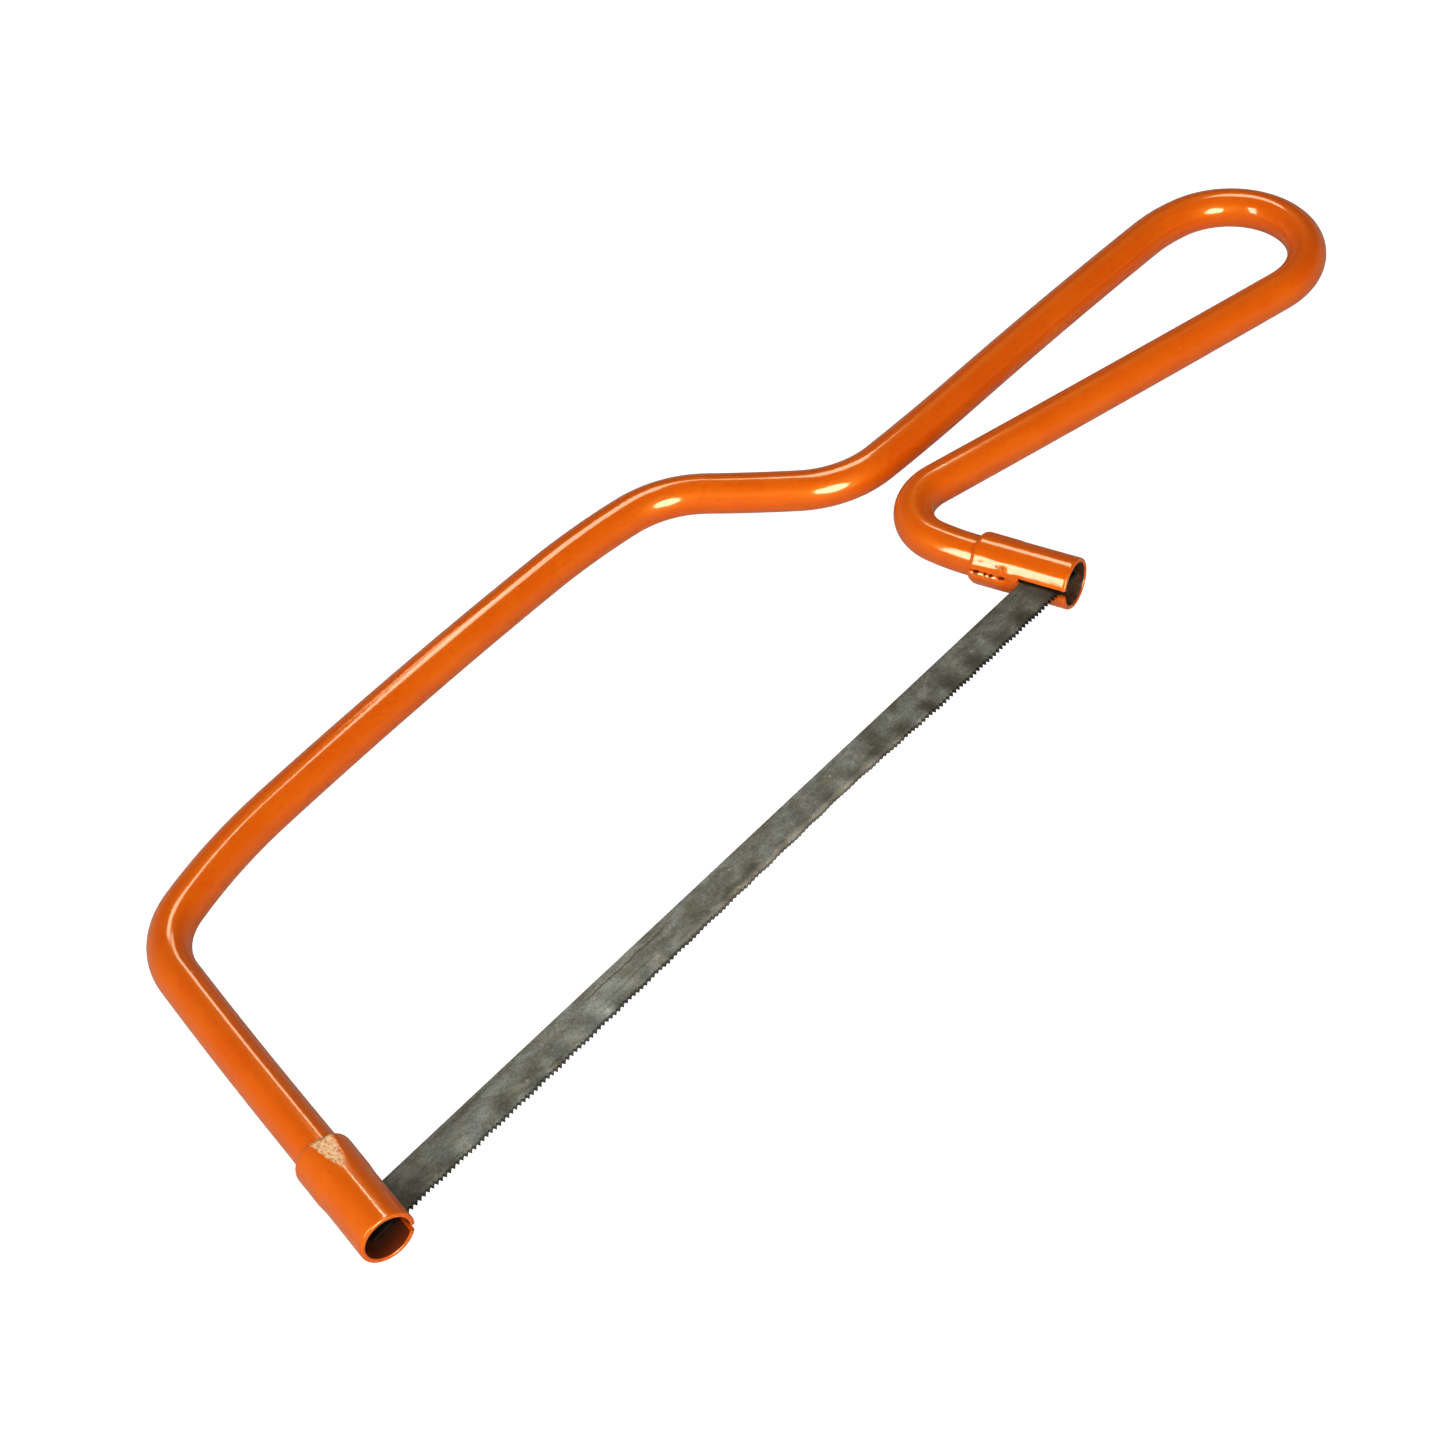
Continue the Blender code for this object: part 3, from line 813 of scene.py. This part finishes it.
# The front bore's near-black steel paints the shade deep in the bore.
front_bore = bore_steel("front_bore_steel", dark=(0.010, 0.006, 0.004), light=(0.05, 0.022, 0.010), paint=1.0)
rear_bore = bore_steel("rear_bore_steel", dark=(0.030, 0.022, 0.012), light=(0.16, 0.115, 0.065), paint=0.25)
blade_finish = blade_steel("blade_steel_mottled")
front_pin_finish = pin_steel("front_pin_steel_drawn")
rear_pin_finish = pin_steel("rear_pin_steel_drawn")

rod = build_rod(rod_paint, "frame")
front_sleeve = build_sleeve(
    "front_sleeve_rolled", "front_sleeve", FRONT_SLEEVE, front_paint, front_bore, "frame"
)
rear_sleeve = build_sleeve("rear_sleeve_rolled", "rear_sleeve", REAR_SLEEVE, rear_paint, rear_bore, "frame")
blade = build_blade(blade_finish, "blade")
front_pin = build_pin("front_pin_domed", "front_blade_pin", -PIN_SPACING / 2, front_pin_finish, "blade")
rear_pin = build_pin("rear_pin_domed", "rear_blade_pin", PIN_SPACING / 2, rear_pin_finish, "blade")

# ---- Floor, world, lights and camera ----

AMBIENT = 0.155
AMBIENT_COLOUR = (1.0, 0.88, 0.78, 1.0)
ROOM = 0.03
BACKDROP = 0.35  # the paper beyond the floor, just above the horizon
# Sines of the heights between which the paper fades into the dark room.
PAPER_FADE_START = 0.10
PAPER_FADE_END = 0.35
ROOM_COLOUR = (1.0, 0.80, 0.60, 1.0)
WHITE = (1.0, 1.0, 1.0, 1.0)
PAPER = (0.5, 0.48, 0.46, 1.0)
CONTACT_SHADE = (0.93, 0.92, 0.91, 1.0)
CONTACT_REACH = 6 * MM
FLOOR_HALF_WIDTH = 3000.0
FLOOR_CLEARANCE = 0.05


def seen_or_lighting(tree, seen, other):
    """A shader that the camera sees as one thing and that lights the scene as another."""
    path = tree.nodes.new("ShaderNodeLightPath")
    mix = tree.nodes.new("ShaderNodeMixShader")
    tree.links.new(path.outputs["Is Camera Ray"], mix.inputs[0])
    tree.links.new(other, mix.inputs[1])
    tree.links.new(seen, mix.inputs[2])
    return mix.outputs[0]


def add_floor():
    """A pale floor just under the two sleeves and the back bar, which is thinner than the sleeves, so that
    the floor leans a little. The camera sees it white, with a faint shade where the saw is near.
    """
    low_edge = np.array([0.0, FRONT_MOUTH[1], -SLEEVE_RADIUS])
    high_edge = np.array([0.0, LINE[:, 1].max(), -ROD_RADIUS])
    slope = (high_edge[2] - low_edge[2]) / (high_edge[1] - low_edge[1])
    half = FLOOR_HALF_WIDTH
    corners = []
    for x, y in ((-half, -half), (half, -half), (half, half), (-half, half)):
        corners.append((x, y, low_edge[2] + slope * (y - low_edge[1]) - FLOOR_CLEARANCE))
    mesh = bpy.data.meshes.new("floor")
    points = (np.array(corners) + THROAT) * MM
    mesh.from_pydata(points.tolist(), [], [(0, 1, 2, 3)])
    made = bpy.data.objects.new("floor", mesh)
    bpy.context.scene.collection.objects.link(made)
    material = bpy.data.materials.new("floor_paper")
    material.use_nodes = True
    tree = material.node_tree
    paper = tree.nodes["Principled BSDF"]
    paper.inputs["Base Color"].default_value = PAPER
    paper.inputs["Roughness"].default_value = 0.9
    seen = tree.nodes.new("ShaderNodeEmission")
    shade = tree.nodes.new("ShaderNodeAmbientOcclusion")
    shade.inputs["Distance"].default_value = CONTACT_REACH
    shade.samples = 8
    ramp = tree.nodes.new("ShaderNodeValToRGB")
    ramp.color_ramp.elements[0].color = CONTACT_SHADE
    ramp.color_ramp.elements[1].color = WHITE
    tree.links.new(shade.outputs["AO"], ramp.inputs["Fac"])
    tree.links.new(ramp.outputs["Color"], seen.inputs["Color"])
    surface = seen_or_lighting(tree, seen.outputs[0], paper.outputs[0])
    tree.links.new(surface, tree.nodes["Material Output"].inputs["Surface"])
    mesh.materials.append(material)


def add_world():
    """White to the camera, a soft glow to matt surfaces, and to glossy ones a dark room with paler paper
    near the horizon.
    """
    world = bpy.data.worlds.new("studio")
    bpy.context.scene.world = world
    world.use_nodes = True
    tree = world.node_tree
    ambient = tree.nodes["Background"]
    ambient.inputs["Color"].default_value = AMBIENT_COLOUR
    ambient.inputs["Strength"].default_value = AMBIENT
    room = tree.nodes.new("ShaderNodeBackground")
    room.inputs["Color"].default_value = ROOM_COLOUR
    ray = tree.nodes.new("ShaderNodeNewGeometry")
    height = tree.nodes.new("ShaderNodeSeparateXYZ")
    level = tree.nodes.new("ShaderNodeMapRange")
    tree.links.new(ray.outputs["Incoming"], height.inputs[0])
    tree.links.new(height.outputs["Z"], level.inputs["Value"])
    level.inputs["From Min"].default_value = -PAPER_FADE_END
    level.inputs["From Max"].default_value = -PAPER_FADE_START
    level.inputs["To Min"].default_value = ROOM
    level.inputs["To Max"].default_value = BACKDROP
    tree.links.new(level.outputs["Result"], room.inputs["Strength"])
    path = tree.nodes.new("ShaderNodeLightPath")
    glossy = tree.nodes.new("ShaderNodeMixShader")
    tree.links.new(path.outputs["Is Glossy Ray"], glossy.inputs[0])
    tree.links.new(ambient.outputs[0], glossy.inputs[1])
    tree.links.new(room.outputs[0], glossy.inputs[2])
    seen = tree.nodes.new("ShaderNodeBackground")
    seen.inputs["Color"].default_value = WHITE
    surface = seen_or_lighting(tree, seen.outputs[0], glossy.outputs[0])
    tree.links.new(surface, tree.nodes["World Output"].inputs["Surface"])


def direction(azimuth, elevation):
    a, e = math.radians(azimuth), math.radians(elevation)
    return Vector((math.cos(a) * math.cos(e), math.sin(a) * math.cos(e), math.sin(e)))


def add_light(
    name,
    place,
    size,
    radiance,
    colour,
    kind,
    shape="RECTANGLE",
    long_axis=(0.0, 0.0, 0.0),
    aim=(0.0, 0.0, 0.0),
    spread=180.0,
):
    """A soft area light at place, in metres, that faces aim with its length along long_axis, or level
    without one. A reflected light is seen in the gloss only; a matt one lights matt surfaces only.
    """
    data = bpy.data.lights.new(name, "AREA")
    data.shape = shape
    data.size, data.size_y = size
    data.energy = radiance * math.pi * size[0] * size[1] * (math.pi / 4 if shape == "ELLIPSE" else 1.0)
    data.color = colour
    data.spread = math.radians(spread)
    made = bpy.data.objects.new(name, data)
    bpy.context.scene.collection.objects.link(made)
    back = (Vector(place) - Vector(aim)).normalized()
    across = Vector(long_axis) if any(long_axis) else Vector((0, 0, 1)).cross(back)
    across = (across - across.dot(back) * back).normalized()
    turned = Matrix((across, back.cross(across), back)).transposed()
    made.matrix_world = Matrix.Translation(place) @ turned.to_4x4()
    made.visible_camera = False
    made.visible_diffuse = kind == "matt"
    made.visible_glossy = kind == "reflected"


WARM = (1.0, 0.88, 0.70)
DAYLIGHT = (1.0, 0.93, 0.85)


def add_lights():
    front = (-0.225, -0.450, 0.194)
    add_light("front_softbox", front, (0.30, 0.36), 17.0, WARM, "reflected", shape="ELLIPSE")
    add_light("left_softbox", 0.60 * direction(166, 31), (0.15, 0.36), 16.0, WARM, "reflected")
    axis = direction(27, 67) - direction(48, 44)
    back = 1.1 * direction(37, 57)
    add_light("back_softbox", back, (0.44, 0.25), 8.4, WARM, "reflected", long_axis=axis)

    # A narrow strip near the front leg, whose spread keeps it off the other parts.
    leg_middle = Vector((-0.1125, 0.0, 0.0))
    strip = leg_middle + Vector((0.1174, 0.0892, 0.092))
    axis = (0.2, 0.98, 0.0)
    size = (0.057, 0.030)
    add_light(
        "leg_strip", strip, size, 1.0, WARM, "reflected", long_axis=axis, aim=leg_middle, spread=75.0
    )

    add_light("key", 1.6 * direction(-160, 30), (0.7, 0.7), 7.6, DAYLIGHT, "matt")
    add_light("handle_fill", 1.0 * direction(-103, 45), (0.5, 0.5), 5.0, DAYLIGHT, "matt")
    add_light("back_fill", 1.2 * direction(102, 12), (0.6, 0.5), 3.0, DAYLIGHT, "matt")


CAMERA_PLACE = (-186.16, -215.71, 315.79)
CAMERA_TARGET = (21.03, 21.21, 0.0)
CAMERA_ROLL = 10.40
CAMERA_LENS = 74.07
SENSOR_WIDTH = 36.0


def add_camera():
    """The viewpoint: above the front of the saw, looking down and back along it."""
    place = (Vector(CAMERA_PLACE) + Vector(THROAT)) * MM
    target = (Vector(CAMERA_TARGET) + Vector(THROAT)) * MM
    roll = math.radians(CAMERA_ROLL)
    forward = (target - place).normalized()
    level = forward.cross(Vector((0, 0, 1))).normalized()
    up = math.cos(roll) * level.cross(forward) + math.sin(roll) * level
    right = forward.cross(up)
    data = bpy.data.cameras.new("camera")
    data.lens = CAMERA_LENS
    data.sensor_width = SENSOR_WIDTH
    made = bpy.data.objects.new("camera", data)
    bpy.context.scene.collection.objects.link(made)
    made.matrix_world = Matrix.Translation(place) @ Matrix((right, up, -forward)).transposed().to_4x4()
    bpy.context.scene.camera = made


add_floor()
add_world()
add_lights()
add_camera()
bpy.context.scene.view_settings.view_transform = "Standard"
bpy.context.scene.view_settings.look = "Medium High Contrast"
